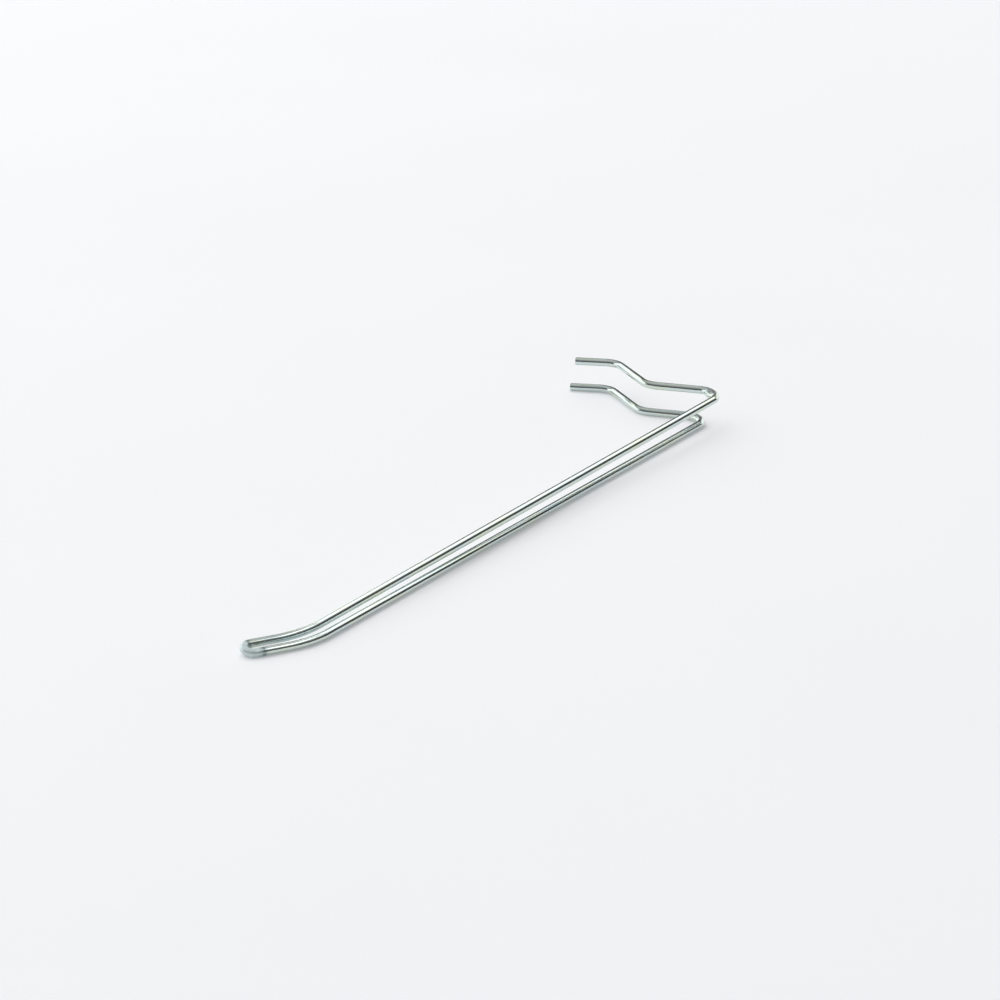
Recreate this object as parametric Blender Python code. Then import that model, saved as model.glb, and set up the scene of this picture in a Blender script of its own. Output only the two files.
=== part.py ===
"""A long two-legged hook, bent from one length of round steel wire and lying on its side.

Frame: the legs run along X with the closed tip at -X, the arms and stubs reach to +Y, and the table
that the lower wire lies on is Z = 0. The origin is the middle of the bounding box, on the table.
"""

import math

import bmesh
import bpy
from mathutils import Vector

# Driving dimensions, in metres and degrees. A run's length is measured between the corner points
# where the straight runs on both sides of it would meet. Directions are in plan, from +X.
WIRE_DIAMETER = 0.0044
LEG_LENGTH = 0.3868
TIP_LENGTH = 0.0337
LOWER_ARM_LENGTH = 0.0409
UPPER_ARM_LENGTH = 0.0456
JOG_LENGTH = 0.0425
LOWER_STUB_LENGTH = 0.0229
UPPER_STUB_LENGTH = 0.0237
ARM_DIRECTION = 105.3
JOG_DIRECTION = 53.4
STUB_DIRECTION = 112.8
TIP_DIRECTION = 149.4

# Where the upper wire's axis lies, measured from the lower one's, at the back, the tip bend and the tip.
BACK_RISE = 0.0165
BACK_SHIFT = -0.0095
FRONT_RISE = 0.0026
FRONT_SHIFT = 0.0063
TIP_RISE = 0.0015
TIP_WIDTH = 0.0082
TIP_SETBACK = 0.0010

# Bends, by the radius of the wire's axis.
CORNER_RADIUS = 0.0115
JOG_RADIUS = 0.0121
TIP_BEND_RADIUS = 0.0450

# How much thicker the inside half of the wire gets in a corner, as a share of its radius.
LOWER_CORNER_SWELL = 0.60
UPPER_CORNER_SWELL = 1.15

SECTION_SIDES = 16
BEND_STEP = math.radians(8.0)  # the turn between neighbouring sections in a bend

ZINC_COLOUR = (0.66, 0.69, 0.71, 1.0)
ZINC_ROUGHNESS = 0.22
ZINC_METALLIC = 1.0


def clear_scene():
    for old in list(bpy.data.objects):
        bpy.data.objects.remove(old, do_unlink=True)


def plan(direction, length=1.0):
    """A level vector of the given length and plan direction."""
    angle = math.radians(direction)
    return Vector((math.cos(angle), math.sin(angle), 0.0)) * length


def wire_end(corner, arm_length, stub_length):
    """The four corner points of one end of the wire, from the leg's corner to the end of the stub."""
    arm_end = corner + plan(ARM_DIRECTION, arm_length)
    jog_end = arm_end + plan(JOG_DIRECTION, JOG_LENGTH)
    return [corner, arm_end, jog_end, jog_end + plan(STUB_DIRECTION, stub_length)]


def route():
    """The corner points of the whole wire, from the lower stub round the tip to the upper stub."""
    level = Vector((0.0, 0.0, WIRE_DIAMETER / 2))
    lower_corner = level
    upper_corner = level + Vector((0.0, BACK_SHIFT, BACK_RISE))
    lower_bend = level + Vector((-LEG_LENGTH, 0.0, 0.0))
    upper_bend = lower_bend + Vector((0.0, FRONT_SHIFT, FRONT_RISE))
    forward = plan(TIP_DIRECTION)
    across = plan(TIP_DIRECTION - 90.0)
    lower_tip = lower_bend + forward * TIP_LENGTH
    upper_tip = lower_tip + across * TIP_WIDTH - forward * TIP_SETBACK + Vector((0.0, 0.0, TIP_RISE))
    lower_end = wire_end(lower_corner, LOWER_ARM_LENGTH, LOWER_STUB_LENGTH)
    upper_end = wire_end(upper_corner, UPPER_ARM_LENGTH, UPPER_STUB_LENGTH)
    return lower_end[::-1] + [lower_bend, lower_tip, upper_tip, upper_bend] + upper_end


def reach(before, corner, after):
    """How far a bend of radius 1 at this corner reaches along each of its runs."""
    opening = (before - corner).angle(after - corner)
    return 1.0 / math.tan(opening / 2)


def tip_radius(points):
    """The radius at which the two bends of the closed tip just meet, with no straight run between."""
    middle = len(points) // 2
    bend, lower_tip, upper_tip, far_bend = points[middle - 2:middle + 2]
    reaches = reach(bend, lower_tip, upper_tip) + reach(lower_tip, upper_tip, far_bend)
    return 0.999 * (upper_tip - lower_tip).length / reaches


def bend_stations(before, corner, after, radius, swell):
    """Stations round one bend: the axis point, the way to the bend's centre and the swell there."""
    to_before = (before - corner).normalized()
    to_after = (after - corner).normalized()
    turn = math.pi - to_before.angle(to_after)
    tangent = radius * reach(before, corner, after)
    middle = (to_before + to_after).normalized()
    centre = corner + middle * radius / math.cos(turn / 2)
    start = corner + to_before * tangent - centre
    end = corner + to_after * tangent - centre
    steps = max(3, math.ceil(turn / BEND_STEP))
    stations = []
    for step in range(steps + 1):
        share = step / steps
        arm = (start * math.sin((1 - share) * turn) + end * math.sin(share * turn)) / math.sin(turn)
        stations.append((centre + arm, -arm.normalized(), swell * math.sin(math.pi * share) ** 2))
    return stations


def wire_stations(points):
    """Stations along the whole wire. A straight run needs none but its two ends."""
    tip = tip_radius(points)
    jogs = [(JOG_RADIUS, 0.0), (JOG_RADIUS, 0.0)]
    front = [(TIP_BEND_RADIUS, 0.0), (tip, 0.0), (tip, 0.0), (TIP_BEND_RADIUS, 0.0)]
    corners = [(CORNER_RADIUS, LOWER_CORNER_SWELL), (CORNER_RADIUS, UPPER_CORNER_SWELL)]
    bends = jogs + corners[:1] + front + corners[1:] + jogs
    sideways = Vector((1.0, 0.0, 0.0))
    stations = [(points[0], sideways, 0.0)]
    for index, (radius, swell) in enumerate(bends, start=1):
        before, corner, after = points[index - 1:index + 2]
        stations += bend_stations(before, corner, after, radius, swell)
    stations.append((points[-1], sideways, 0.0))
    return stations


def ring_points(station, direction):
    """One cross-section: a polygon round the wire, with flats above and below."""
    axis_point, inward, swell = station
    side = Vector((0.0, 0.0, 1.0)).cross(direction).normalized()
    up = direction.cross(side)
    radius = WIRE_DIAMETER / 2 / math.cos(math.pi / SECTION_SIDES)
    ring = []
    for index in range(SECTION_SIDES):
        angle = 2 * math.pi * (index + 0.5) / SECTION_SIDES
        offset = (side * math.cos(angle) + up * math.sin(angle)) * radius
        towards_centre = max(0.0, offset.dot(inward))
        ring.append(axis_point + offset + inward * towards_centre * swell)
    return ring


def build_wire(stations):
    """Joins the cross-sections into one closed tube with flat, sheared ends."""
    mesh = bmesh.new()
    rings = []
    for index, station in enumerate(stations):
        before = stations[max(index - 1, 0)][0]
        after = stations[min(index + 1, len(stations) - 1)][0]
        here = station[0]
        incoming = (here - before).normalized()
        outgoing = (after - here).normalized()
        direction = (incoming + outgoing).normalized()
        rings.append([mesh.verts.new(point) for point in ring_points(station, direction)])
    for ring, following in zip(rings, rings[1:]):
        for index in range(SECTION_SIDES):
            beside = (index + 1) % SECTION_SIDES
            mesh.faces.new((ring[index], ring[beside], following[beside], following[index]))
    mesh.faces.new(rings[0][::-1])
    mesh.faces.new(rings[-1])
    bmesh.ops.recalc_face_normals(mesh, faces=mesh.faces)
    return mesh


def centre_on_table(mesh):
    """Moves the wire so that the middle of its bounding box is the origin in plan."""
    xs = [vertex.co.x for vertex in mesh.verts]
    ys = [vertex.co.y for vertex in mesh.verts]
    offset = Vector((-(min(xs) + max(xs)) / 2, -(min(ys) + max(ys)) / 2, 0.0))
    bmesh.ops.translate(mesh, vec=offset, verts=mesh.verts)


def zinc_material():
    material = bpy.data.materials.new("bright_zinc")
    material.use_nodes = True
    shader = material.node_tree.nodes["Principled BSDF"]
    shader.inputs["Base Color"].default_value = ZINC_COLOUR
    shader.inputs["Roughness"].default_value = ZINC_ROUGHNESS
    shader.inputs["Metallic"].default_value = ZINC_METALLIC
    return material


def make_hook_wire():
    mesh = build_wire(wire_stations(route()))
    centre_on_table(mesh)
    data = bpy.data.meshes.new("hook_wire")
    mesh.to_mesh(data)
    mesh.free()
    data.shade_smooth()
    data.set_sharp_from_angle(angle=math.radians(40.0))
    data.materials.append(zinc_material())
    wire = bpy.data.objects.new("hook_wire", data)
    bpy.context.scene.collection.objects.link(wire)
    return wire


clear_scene()
make_hook_wire()
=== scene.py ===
"""The looks of a zinc-plated double-leg wire hook that lies on its side on a pale table.

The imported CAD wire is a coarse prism. Here the same wire is swept again with a fine section, the marks
that bending and cutting leave on it, and a procedural bright-zinc finish.
"""

import math

import bmesh
import bpy
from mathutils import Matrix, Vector, noise


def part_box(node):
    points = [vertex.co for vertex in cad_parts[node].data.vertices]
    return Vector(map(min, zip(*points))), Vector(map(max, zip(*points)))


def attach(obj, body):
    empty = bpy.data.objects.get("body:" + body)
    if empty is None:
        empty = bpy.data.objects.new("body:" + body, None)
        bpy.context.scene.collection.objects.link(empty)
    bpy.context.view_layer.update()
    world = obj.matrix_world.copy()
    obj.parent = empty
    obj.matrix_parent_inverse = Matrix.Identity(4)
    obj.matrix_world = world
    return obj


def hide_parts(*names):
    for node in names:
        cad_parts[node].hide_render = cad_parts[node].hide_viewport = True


# The wire's design, as in the CAD: metres, and degrees in plan from +X.
WIRE_DIAMETER = 0.0044
LEG_LENGTH = 0.3868
TIP_LENGTH = 0.0337
LOWER_ARM_LENGTH = 0.0409
UPPER_ARM_LENGTH = 0.0456
JOG_LENGTH = 0.0425
LOWER_STUB_LENGTH = 0.0229
UPPER_STUB_LENGTH = 0.0237
ARM_DIRECTION = 105.3
JOG_DIRECTION = 53.4
STUB_DIRECTION = 112.8
TIP_DIRECTION = 149.4
BACK_RISE = 0.0165
BACK_SHIFT = -0.0095
FRONT_RISE = 0.0026
FRONT_SHIFT = 0.0063
TIP_RISE = 0.0015
TIP_WIDTH = 0.0082
TIP_SETBACK = 0.0010
CORNER_RADIUS = 0.0115
JOG_RADIUS = 0.0121
TIP_BEND_RADIUS = 0.0450
LOWER_CORNER_SWELL = 0.60
UPPER_CORNER_SWELL = 1.15

# The fine sweep.
SKIN_INSET = 0.000015  # keeps the fine skin inside the CAD prism
SECTION_SIDES = 48
STRAIGHT_STEP = 0.0012
BEND_STEP = 0.00045
LEAST_BEND_STEPS = 8
CLOSED_TIP_SHARE = 0.999  # keeps the two bends of the closed tip just clear of each other

# How much the bending tools marked the skin at the middle of each bend, 0 to 1.
JOG_WORK = 0.15
TIP_BEND_WORK = 0.1
CLOSED_TIP_WORK = 0.3
LOWER_CORNER_WORK = 0.6
UPPER_CORNER_WORK = 1.0

# Marks of making: depths below the drawn surface, spacings along the wire and changes round it.
WAVE_DEPTH = 0.000030
WAVE_SPACING = 0.018
WAVES_AROUND = 0.9
DENT_DEPTH = 0.000035
DENT_SPACING = 0.0021
DENTS_AROUND = 1.6
DENT_SHIFT = Vector((7.0, 3.0, 0.0))  # takes the dents from another part of the noise than the waves
DENT_THRESHOLD = 0.25  # the noise level above which the skin is dented
DENT_BASE = 0.5  # the share of the depth on unworked wire
DENT_GAIN = 3.0  # and what full working adds to it
PRESS_DEPTH = 0.00010
PRESS_SHARPNESS = 6

# The tip's skin, by distance along the wire from the tip's apex.
# Where the tip's zinc is duller and rougher, with a painted blue-grey shade in its colour.
DULL_AND_SHADED_REACH = 0.0095
DULL_AND_SHADED_FADE = 0.0040
# Where a dark reflection is painted on the tip's zinc: its distance from the apex and its length along the
# wire.
PAINTED_REFLECTION_DISTANCE = 0.0075
PAINTED_REFLECTION_LENGTH = 0.0012

# The sheared ends: rings as a share of the rim's radius with their lift, and a torn surface inside them.
END_SETBACK = 0.00018  # makes room for the lift in front of the last full section
END_RINGS = [
    (0.97, 0.00008), (0.90, 0.00013), (0.80, 0.00014),
    (0.62, 0.00011), (0.40, 0.00009), (0.18, 0.00010),
]
TEAR_DEPTH = 0.00005
TEARS_PER_METRE = 3500.0

# The straightened wire, on which the finish is laid, in millimetres.
MILLIMETRES = 1000
LAYOUT_RADIUS = 2.0

# The zinc. Each noise on the wire has its changes per millimetre across and along it, detail and roughness.
TINT_NOISE = (0.35, 0.06, 3.0, 0.6)
CLOUD_NOISE = (0.9, 0.18, 3.0, 0.55)
LINE_NOISE = (4.5, 0.02, 4.0, 0.6)
SPECK_NOISE = (1.6, 0.9, 3.0, 0.7)
BLUISH_ZINC = (0.60, 0.71, 0.72, 1.0)
PLAIN_ZINC = (0.665, 0.735, 0.705, 1.0)
YELLOWISH_ZINC = (0.665, 0.73, 0.60, 1.0)
# Painted at the tip: a blue-grey shade on its duller zinc and a dark reflection, and how much each covers the
# plain zinc.
PAINTED_SHADE_ZINC = (0.58, 0.68, 0.71, 1.0)
PAINTED_REFLECTION_COLOUR = (0.12, 0.17, 0.17, 1.0)
PAINTED_SHADE_COVER = 0.7
PAINTED_REFLECTION_COVER = 0.75
LEAST_ROUGHNESS = 0.07
CLOUDED_ROUGHNESS = 0.13
WORKED_ROUGHNESS = 0.04  # added where the wire was worked
DULL_ROUGHNESS = 0.22  # added where it is dull
DULL_METALLIC = 0.45
LINE_STRENGTH = 0.20
LINE_HEIGHT = 0.00003
SPECK_STRENGTH = 0.6
SPECK_HEIGHT = 0.0002
SPECKS_UNWORKED = 0.03  # the share of the specks' height that unworked wire has

# The table.
TABLE_NOISE = (3.0, 2.0, 0.5)
TABLE_ROUGHNESS = 0.75
TABLE_SPECULAR = 0.2
TABLE_DARKER = (0.640, 0.646, 0.656, 1.0)
TABLE_PALER = (0.654, 0.659, 0.667, 1.0)
TABLE_GLOW_COLOUR = (0.95, 0.97, 1.0, 1.0)
TABLE_GLOW = 0.24
TABLE_REACH = 6.0  # from its middle to its edges
TABLE_GRID = 8

CAMERA_AIM = Vector((0.0303, -0.0103, 0.0))
CAMERA_HEADING = 58.0  # degrees clockwise from +Y
CAMERA_ELEVATION = 20.0
CAMERA_DISTANCE = 1.8784
CAMERA_LENS = 129.6
SENSOR_WIDTH = 36.0
CAMERA_RANGE = 50.0

# Soft boxes: bearing from the camera's heading, elevation, width and height, all in degrees as seen from the
# hook, and radiance.
BOX_DISTANCE = 6.0
TABLE_BOX = ("fill_left", -60.0, 50.0, 120.0, 76.0, 1.47)
MIRRORED_BOXES = [
    ("back_left", -50.0, 14.0, 84.0, 37.0, 1.35),
    ("back_low", 36.0, 12.0, 44.0, 26.0, 1.15),
    ("back_right", 30.0, 41.0, 44.0, 16.0, 1.15),
    ("high_right", 95.0, 58.0, 48.0, 19.0, 1.3),
]

# The room's brightness against the height of the view direction, from the horizon (0) to overhead (1), and
# the cosines from the camera's heading between which the room changes from one to the other.
ROOM_AHEAD = [(0.0, 0.08), (0.20, 0.05), (0.42, 0.10), (0.72, 0.55), (1.0, 0.64)]
ROOM_BEHIND_CAMERA = [(0.0, 0.07), (0.30, 0.10), (0.64, 0.24), (0.87, 0.46), (1.0, 0.64)]
ROOM_BEHIND_UP_TO = -0.5
ROOM_AHEAD_FROM = 0.3


# ---------------------------------------------------------------- the wire's axis

def plan(direction, length=1.0):
    """A level vector of the given length and plan direction."""
    angle = math.radians(direction)
    return Vector((math.cos(angle), math.sin(angle), 0.0)) * length


def wire_end(corner, arm_length, stub_length):
    """The four corner points of one end of the wire, from the leg's corner to the end of the stub."""
    arm_end = corner + plan(ARM_DIRECTION, arm_length)
    jog_end = arm_end + plan(JOG_DIRECTION, JOG_LENGTH)
    return [corner, arm_end, jog_end, jog_end + plan(STUB_DIRECTION, stub_length)]


def route():
    """The corner points of the whole wire, from the lower stub round the tip to the upper stub."""
    lower_corner = Vector((0.0, 0.0, WIRE_DIAMETER / 2))
    upper_corner = lower_corner + Vector((0.0, BACK_SHIFT, BACK_RISE))
    lower_bend = lower_corner + Vector((-LEG_LENGTH, 0.0, 0.0))
    upper_bend = lower_bend + Vector((0.0, FRONT_SHIFT, FRONT_RISE))
    forward = plan(TIP_DIRECTION)
    across = plan(TIP_DIRECTION - 90.0)
    lower_tip = lower_bend + forward * TIP_LENGTH
    upper_tip = lower_tip + across * TIP_WIDTH - forward * TIP_SETBACK + Vector((0.0, 0.0, TIP_RISE))
    lower_end = wire_end(lower_corner, LOWER_ARM_LENGTH, LOWER_STUB_LENGTH)
    upper_end = wire_end(upper_corner, UPPER_ARM_LENGTH, UPPER_STUB_LENGTH)
    return lower_end[::-1] + [lower_bend, lower_tip, upper_tip, upper_bend] + upper_end


def reach(before, corner, after):
    """How far a bend of radius 1 at this corner reaches along each of its runs."""
    opening = (before - corner).angle(after - corner)
    return 1.0 / math.tan(opening / 2)


def tip_radius(points):
    """The radius at which the two bends of the closed tip just meet, with no straight run between."""
    middle = len(points) // 2
    bend, lower_tip, upper_tip, far_bend = points[middle - 2:middle + 2]
    reaches = reach(bend, lower_tip, upper_tip) + reach(lower_tip, upper_tip, far_bend)
    return CLOSED_TIP_SHARE * (upper_tip - lower_tip).length / reaches


class Station:
    """A place on the wire's axis: its point, the way to the bend's centre and the section's swell there."""

    def __init__(self, point, inward=Vector((1.0, 0.0, 0.0)), swell=0.0, worked=0.0):
        self.point = point
        self.inward = inward
        self.swell = swell
        self.worked = worked  # how much the bending tools marked the skin here, 0 to 1
        self.along = 0.0  # the distance from the wire's start
        self.dull_and_shaded = 0.0  # how dull and rough the zinc is here, with painted blue-grey shade in its colour, 0 to 1
        self.painted_reflection = 0.0  # how much dark reflection is painted on the zinc here, 0 to 1


def straight_stations(start, end):
    """Stations between two bends, without the two ends."""
    steps = max(2, round((end - start).length / STRAIGHT_STEP))
    return [Station(start.lerp(end, step / steps)) for step in range(1, steps)]


def bend_stations(before, corner, after, radius, swell, worked):
    """Stations round one bend, both ends included."""
    to_before = (before - corner).normalized()
    to_after = (after - corner).normalized()
    turn = math.pi - to_before.angle(to_after)
    tangent = radius * reach(before, corner, after)
    middle = (to_before + to_after).normalized()
    centre = corner + middle * radius / math.cos(turn / 2)
    start = corner + to_before * tangent - centre
    end = corner + to_after * tangent - centre
    steps = max(LEAST_BEND_STEPS, round(radius * turn / BEND_STEP))
    stations = []
    for step in range(steps + 1):
        share = step / steps
        arm = (start * math.sin((1 - share) * turn) + end * math.sin(share * turn)) / math.sin(turn)
        hump = math.sin(math.pi * share) ** 2
        stations.append(Station(centre + arm, -arm.normalized(), swell * hump, worked * hump))
    return stations


def mark_tip(stations):
    """Sets where the closed tip's zinc is duller with painted blue-grey shade, and where dark reflection is
    painted.
    """
    apex = min(stations, key=lambda station: station.point.x).along
    for station in stations:
        distance = abs(station.along - apex)
        station.dull_and_shaded = min(1.0, max(0.0, (DULL_AND_SHADED_REACH - distance) / DULL_AND_SHADED_FADE))
        station.painted_reflection = math.exp(-((distance - PAINTED_REFLECTION_DISTANCE) / PAINTED_REFLECTION_LENGTH) ** 2)


def wire_stations(points):
    """All stations of the wire, with the distance along it."""
    jog = (JOG_RADIUS, 0.0, JOG_WORK)
    lower_corner = (CORNER_RADIUS, LOWER_CORNER_SWELL, LOWER_CORNER_WORK)
    upper_corner = (CORNER_RADIUS, UPPER_CORNER_SWELL, UPPER_CORNER_WORK)
    tip_bend = (TIP_BEND_RADIUS, 0.0, TIP_BEND_WORK)
    closed_tip = (tip_radius(points), 0.0, CLOSED_TIP_WORK)
    bends = [jog, jog, lower_corner, tip_bend, closed_tip, closed_tip, tip_bend, upper_corner, jog, jog]
    stations = [Station(points[0])]
    for index, (radius, swell, worked) in enumerate(bends, start=1):
        before, corner, after = points[index - 1:index + 2]
        bend = bend_stations(before, corner, after, radius, swell, worked)
        stations += straight_stations(stations[-1].point, bend[0].point) + bend
    stations += straight_stations(stations[-1].point, points[-1]) + [Station(points[-1])]
    for previous, station in zip(stations, stations[1:]):
        station.along = previous.along + (station.point - previous.point).length
    mark_tip(stations)
    return stations


# ---------------------------------------------------------------- the wire's skin

def hollow_depth(along, turn, worked):
    """How far the skin lies below the drawn wire: straightener waves and small dents."""
    around = Vector((math.cos(turn), math.sin(turn), 0.0))
    place = around * WAVES_AROUND + Vector((0.0, 0.0, along / WAVE_SPACING))
    waves = WAVE_DEPTH * (0.5 + 0.5 * noise.noise(place))
    dent_place = around * DENTS_AROUND + DENT_SHIFT + Vector((0.0, 0.0, along / DENT_SPACING))
    dented = max(0.0, noise.noise(dent_place) - DENT_THRESHOLD)
    return waves + DENT_DEPTH * dented * (DENT_BASE + DENT_GAIN * worked)


def ring_points(station, direction):
    """One cross-section with its marks."""
    side = Vector((0.0, 0.0, 1.0)).cross(direction).normalized()
    up = direction.cross(side)
    radius = WIRE_DIAMETER / 2 - SKIN_INSET
    ring = []
    for index in range(SECTION_SIDES):
        turn = 2 * math.pi * index / SECTION_SIDES
        outward = side * math.cos(turn) + up * math.sin(turn)
        depth = hollow_depth(station.along, turn, station.worked)
        facing = max(0.0, -outward.dot(station.inward))
        pressed = PRESS_DEPTH * station.worked * facing ** PRESS_SHARPNESS
        offset = outward * (radius - depth - pressed)
        inward = max(0.0, offset.dot(station.inward)) * station.swell
        ring.append(station.point + offset + station.inward * inward)
    return ring


def join_rings(mesh, ring, following):
    """One band of faces between two rings of vertices."""
    for index in range(SECTION_SIDES):
        beside = (index + 1) % SECTION_SIDES
        mesh.faces.new((ring[index], ring[beside], following[beside], following[index]))


def build_skin(stations):
    """Joins the cross-sections into one open skin. Returns it with its rings."""
    mesh = bmesh.new()
    straight = mesh.verts.layers.float_vector.new("straight_wire")
    marked = mesh.verts.layers.float.new("worked")
    # Layers for the tip's duller zinc with its painted blue-grey shade, and for the painted dark reflection.
    dull_and_shaded_layer = mesh.verts.layers.float.new("dull_and_shaded")
    painted_reflection = mesh.verts.layers.float.new("painted_reflection")
    rings = []
    last = len(stations) - 1
    for index, station in enumerate(stations):
        before = stations[max(index - 1, 0)].point
        after = stations[min(index + 1, last)].point
        ring = []
        points = ring_points(station, (after - before).normalized())
        for number, point in enumerate(points):
            turn = 2 * math.pi * number / SECTION_SIDES
            vertex = mesh.verts.new(point)
            vertex[straight] = Vector((math.cos(turn) * LAYOUT_RADIUS, math.sin(turn) * LAYOUT_RADIUS,
                                       station.along * MILLIMETRES))
            vertex[marked] = station.worked
            vertex[dull_and_shaded_layer] = station.dull_and_shaded
            vertex[painted_reflection] = station.painted_reflection
            ring.append(vertex)
        rings.append(ring)
    for ring, following in zip(rings, rings[1:]):
        join_rings(mesh, ring, following)
    return mesh, rings


def close_end(mesh, ring, outward):
    """A sheared end: a rolled-over lip, a slightly hollow face and a torn centre."""
    straight = mesh.verts.layers.float_vector["straight_wire"]
    marked = mesh.verts.layers.float["worked"]
    centre = sum((vertex.co for vertex in ring), Vector()) / len(ring)
    previous = ring
    for share, lift in END_RINGS:
        inner = []
        for rim in ring:
            place = centre.lerp(rim.co, share)
            torn = TEAR_DEPTH * noise.noise(place * TEARS_PER_METRE) * (1 - share)
            point = mesh.verts.new(place + outward * (lift + torn))
            point[straight] = rim[straight] * share
            point[marked] = 1.0
            inner.append(point)
        join_rings(mesh, previous, inner)
        previous = inner
    mesh.faces.new(previous)


def new_object(name, mesh):
    """Puts a finished mesh into the scene as one object."""
    data = bpy.data.meshes.new(name)
    mesh.to_mesh(data)
    mesh.free()
    made = bpy.data.objects.new(name, data)
    bpy.context.scene.collection.objects.link(made)
    return made


def make_wire(low, high):
    """The whole skin as one mesh object, lying where the CAD wire lies."""
    stations = wire_stations(route())
    mesh, rings = build_skin(stations)
    xs = [vertex.co.x for vertex in mesh.verts]
    ys = [vertex.co.y for vertex in mesh.verts]
    offset = Vector(((low.x + high.x - min(xs) - max(xs)) / 2, (low.y + high.y - min(ys) - max(ys)) / 2, 0.0))
    bmesh.ops.translate(mesh, vec=offset, verts=mesh.verts)
    outward = plan(STUB_DIRECTION)
    for ring in (rings[0], rings[-1]):
        bmesh.ops.translate(mesh, vec=-outward * END_SETBACK, verts=ring)
        close_end(mesh, ring, outward)
    bmesh.ops.recalc_face_normals(mesh, faces=mesh.faces)
    wire = new_object("zinc_wire_skin", mesh)
    wire.data.shade_smooth()
    return wire


# ---------------------------------------------------------------- materials

class Nodes:
    """Short calls for building a node tree. A value is another node's output or a plain number or colour."""

    def __init__(self, tree):
        self.tree = tree

    def add(self, kind, **settings):
        node = self.tree.nodes.new(kind)
        for setting, value in settings.items():
            setattr(node, setting, value)
        return node

    def put(self, value, socket):
        if isinstance(value, bpy.types.NodeSocket):
            self.tree.links.new(value, socket)
        else:
            socket.default_value = value

    def noise(self, place, scale, detail, roughness):
        texture = self.add("ShaderNodeTexNoise")
        self.put(place, texture.inputs["Vector"])
        self.put(scale, texture.inputs["Scale"])
        self.put(detail, texture.inputs["Detail"])
        self.put(roughness, texture.inputs["Roughness"])
        return texture.outputs["Fac"]

    def wire_noise(self, place, across, along, detail, roughness):
        """Noise on the straightened wire, with its changes per millimetre across and along the wire."""
        stretch = self.add("ShaderNodeMapping", vector_type="POINT")
        self.put(place, stretch.inputs["Vector"])
        self.put((across, across, along), stretch.inputs["Scale"])
        return self.noise(stretch.outputs["Vector"], 1.0, detail, roughness)

    def ramp(self, factor, stops):
        ramp = self.add("ShaderNodeValToRGB")
        elements = ramp.color_ramp.elements
        while len(elements) < len(stops):
            elements.new(0.5)
        for element, (position, colour) in zip(elements, stops):
            element.position = position
            element.color = colour
        self.put(factor, ramp.inputs["Fac"])
        return ramp.outputs["Color"]

    def range(self, value, low, high, to_low, to_high, **settings):
        node = self.add("ShaderNodeMapRange", **settings)
        self.put(value, node.inputs["Value"])
        self.put(low, node.inputs["From Min"])
        self.put(high, node.inputs["From Max"])
        self.put(to_low, node.inputs["To Min"])
        self.put(to_high, node.inputs["To Max"])
        return node.outputs["Result"]

    def math(self, operation, first, second):
        node = self.add("ShaderNodeMath", operation=operation)
        self.put(first, node.inputs[0])
        self.put(second, node.inputs[1])
        return node.outputs["Value"]

    def mix(self, factor, first, second):
        node = self.add("ShaderNodeMix", data_type="RGBA")
        self.put(factor, node.inputs["Factor"])
        self.put(first, node.inputs["A"])
        self.put(second, node.inputs["B"])
        return node.outputs["Result"]

    def bump(self, height, strength, distance):
        node = self.add("ShaderNodeBump")
        self.put(height, node.inputs["Height"])
        self.put(strength, node.inputs["Strength"])
        self.put(distance, node.inputs["Distance"])
        return node


def new_material(name):
    """A new material, with the calls for its node tree and the inputs of its shader."""
    material = bpy.data.materials.new(name)
    material.use_nodes = True
    return material, Nodes(material.node_tree), material.node_tree.nodes["Principled BSDF"].inputs


def zinc_material():
    """Bright zinc on drawn wire: lines along it, faint passivation tints, matt specks, painted shade and
    reflection at the tip.
    """
    material, nodes, shader = new_material("bright_zinc")
    place = nodes.add("ShaderNodeAttribute", attribute_name="straight_wire").outputs["Vector"]
    worked, dull_and_shaded, painted_reflection = [nodes.add("ShaderNodeAttribute", attribute_name=name).outputs["Fac"]
                             for name in ("worked", "dull_and_shaded", "painted_reflection")]

    tint = nodes.wire_noise(place, *TINT_NOISE)
    colour = nodes.ramp(tint, [(0.30, BLUISH_ZINC), (0.50, PLAIN_ZINC), (0.68, YELLOWISH_ZINC)])
    # A blue-grey shade painted on the tip's duller zinc.
    colour = nodes.mix(nodes.math("MULTIPLY", dull_and_shaded, PAINTED_SHADE_COVER), colour, PAINTED_SHADE_ZINC)
    # A dark reflection painted near the tip's apex.
    colour = nodes.mix(nodes.math("MULTIPLY", painted_reflection, PAINTED_REFLECTION_COVER), colour, PAINTED_REFLECTION_COLOUR)
    nodes.put(colour, shader["Base Color"])

    clouds = nodes.wire_noise(place, *CLOUD_NOISE)
    rough = nodes.range(clouds, 0.3, 0.7, LEAST_ROUGHNESS, CLOUDED_ROUGHNESS)
    rough = nodes.math("ADD", rough, nodes.math("MULTIPLY", worked, WORKED_ROUGHNESS))
    rough = nodes.math("ADD", rough, nodes.math("MULTIPLY", dull_and_shaded, DULL_ROUGHNESS))
    nodes.put(rough, shader["Roughness"])
    nodes.put(nodes.range(dull_and_shaded, 0.0, 1.0, 1.0, DULL_METALLIC), shader["Metallic"])

    drawn = nodes.wire_noise(place, *LINE_NOISE)
    specks = nodes.range(nodes.wire_noise(place, *SPECK_NOISE), 0.50, 0.70, 0.0, 1.0)
    speck_height = nodes.math("MULTIPLY", specks, nodes.range(worked, 0.0, 1.0, SPECKS_UNWORKED, 1.0))
    lines = nodes.bump(drawn, LINE_STRENGTH, LINE_HEIGHT)
    relief = nodes.bump(speck_height, SPECK_STRENGTH, SPECK_HEIGHT)
    nodes.put(lines.outputs["Normal"], relief.inputs["Normal"])
    nodes.put(relief.outputs["Normal"], shader["Normal"])
    return material


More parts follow.
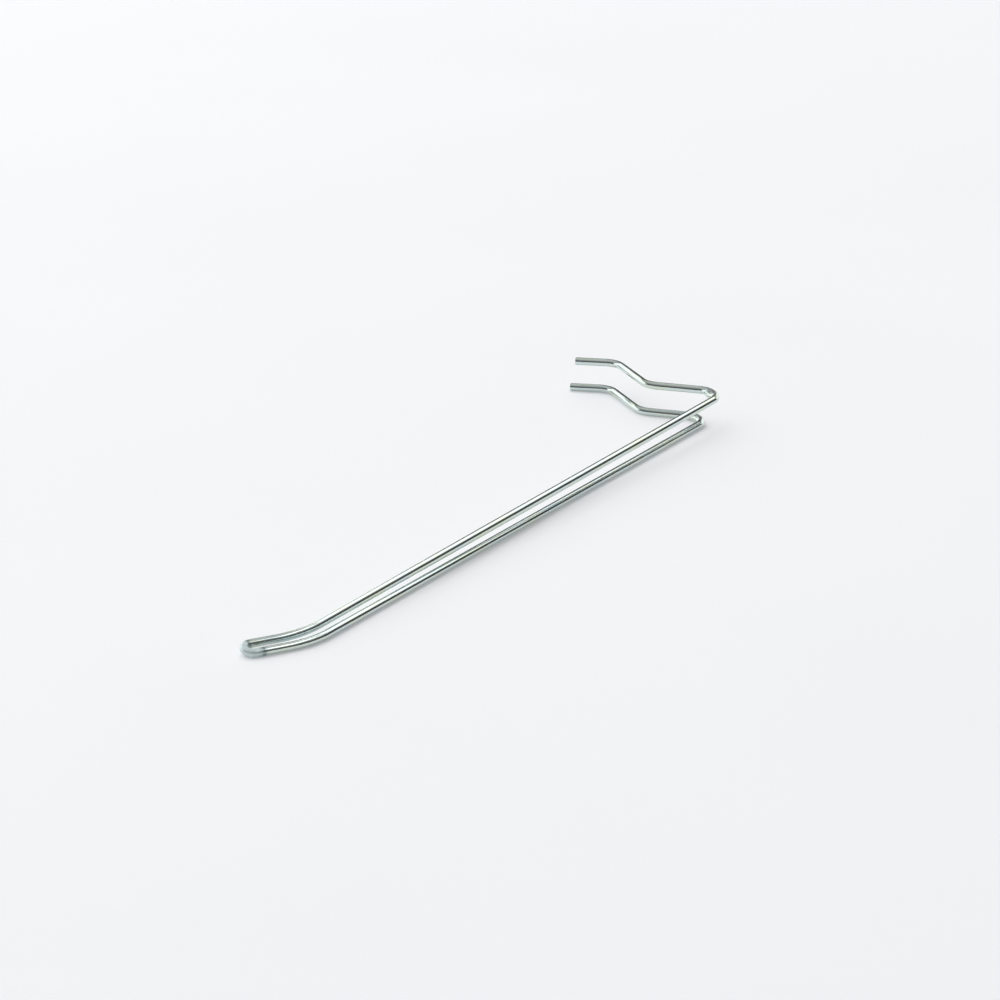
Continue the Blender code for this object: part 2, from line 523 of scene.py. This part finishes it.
def table_material():
    """A plain pale table with a barely uneven tone and a faint glow, which stands in for studio light."""
    material, nodes, shader = new_material("pale_table")
    place = nodes.add("ShaderNodeTexCoord").outputs["Object"]
    tone = nodes.noise(place, *TABLE_NOISE)
    nodes.put(nodes.ramp(tone, [(0.3, TABLE_DARKER), (0.7, TABLE_PALER)]), shader["Base Color"])
    nodes.put(TABLE_GLOW_COLOUR, shader["Emission Color"])
    nodes.put(TABLE_GLOW, shader["Emission Strength"])
    nodes.put(TABLE_ROUGHNESS, shader["Roughness"])
    nodes.put(TABLE_SPECULAR, shader["Specular IOR Level"])
    return material


# ---------------------------------------------------------------- stage, light and camera

def make_table():
    mesh = bmesh.new()
    bmesh.ops.create_grid(mesh, x_segments=TABLE_GRID, y_segments=TABLE_GRID, size=TABLE_REACH)
    table = new_object("table", mesh)
    table.data.materials.append(table_material())
    return table


def heading(direction):
    """A level unit vector at the given clockwise angle from +Y."""
    angle = math.radians(direction)
    return Vector((math.sin(angle), math.cos(angle), 0.0))


def direction_to(bearing, elevation):
    """The way from the hook to a place at this bearing from the camera's heading, and this elevation."""
    rise = math.radians(elevation)
    return heading(CAMERA_HEADING + bearing) * math.cos(rise) + Vector((0.0, 0.0, math.sin(rise)))


def soft_box(name, bearing, elevation, wide, tall, radiance):
    """A rectangular light that faces the hook. Its size is in degrees, as seen from the hook."""
    width = 2 * BOX_DISTANCE * math.tan(math.radians(wide / 2))
    height = 2 * BOX_DISTANCE * math.tan(math.radians(tall / 2))
    light = bpy.data.lights.new(name, "AREA")
    light.shape = "RECTANGLE"
    light.size = width
    light.size_y = height
    light.energy = radiance * math.pi * width * height
    box = bpy.data.objects.new(name, light)
    way = direction_to(bearing, elevation)
    box.location = way * BOX_DISTANCE
    box.rotation_euler = way.to_track_quat("Z", "Y").to_euler()
    box.visible_camera = False
    bpy.context.scene.collection.objects.link(box)
    return box


def grey_stops(stops):
    """The stops of a brightness ramp as stops of a colour ramp."""
    return [(position, (grey, grey, grey, 1.0)) for position, grey in stops]


def make_room():
    """A pale room. It is dim behind the camera and close to the horizon."""
    world = bpy.data.worlds.new("room")
    bpy.context.scene.world = world
    world.use_nodes = True
    nodes = Nodes(world.node_tree)
    way = nodes.add("ShaderNodeTexCoord").outputs["Generated"]
    split = nodes.add("ShaderNodeSeparateXYZ")
    nodes.put(way, split.inputs["Vector"])
    behind = nodes.ramp(split.outputs["Z"], grey_stops(ROOM_BEHIND_CAMERA))
    ahead = nodes.ramp(split.outputs["Z"], grey_stops(ROOM_AHEAD))
    facing = nodes.add("ShaderNodeVectorMath", operation="DOT_PRODUCT")
    nodes.put(way, facing.inputs[0])
    nodes.put(heading(CAMERA_HEADING), facing.inputs[1])
    share = nodes.range(facing.outputs["Value"], ROOM_BEHIND_UP_TO, ROOM_AHEAD_FROM, 0.0, 1.0,
                        interpolation_type="SMOOTHSTEP")
    nodes.put(nodes.mix(share, behind, ahead), world.node_tree.nodes["Background"].inputs["Color"])


def make_lights():
    """One broad light for the table, and the boxes that only the wire mirrors."""
    soft_box(*TABLE_BOX).visible_glossy = False
    for box in MIRRORED_BOXES:
        soft_box(*box).visible_diffuse = False


def make_camera():
    camera_data = bpy.data.cameras.new("camera")
    camera_data.lens = CAMERA_LENS
    camera_data.sensor_width = SENSOR_WIDTH
    camera_data.clip_end = CAMERA_RANGE
    camera = bpy.data.objects.new("camera", camera_data)
    camera.location = CAMERA_AIM - direction_to(0.0, -CAMERA_ELEVATION) * CAMERA_DISTANCE
    camera.rotation_euler = (math.radians(90.0 - CAMERA_ELEVATION), 0.0, math.radians(-CAMERA_HEADING))
    bpy.context.scene.collection.objects.link(camera)
    bpy.context.scene.camera = camera


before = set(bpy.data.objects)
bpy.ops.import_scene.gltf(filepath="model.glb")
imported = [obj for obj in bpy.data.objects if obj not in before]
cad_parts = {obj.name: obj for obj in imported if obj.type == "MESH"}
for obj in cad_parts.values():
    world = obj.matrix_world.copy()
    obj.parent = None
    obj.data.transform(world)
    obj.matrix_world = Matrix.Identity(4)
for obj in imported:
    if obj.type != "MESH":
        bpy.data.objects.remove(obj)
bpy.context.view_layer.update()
make_camera()
make_room()
make_lights()
make_table()
bpy.context.scene.view_settings.view_transform = "Standard"

wire = make_wire(*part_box("hook_wire"))
wire.data.materials.append(zinc_material())
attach(wire, "root")
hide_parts("hook_wire")
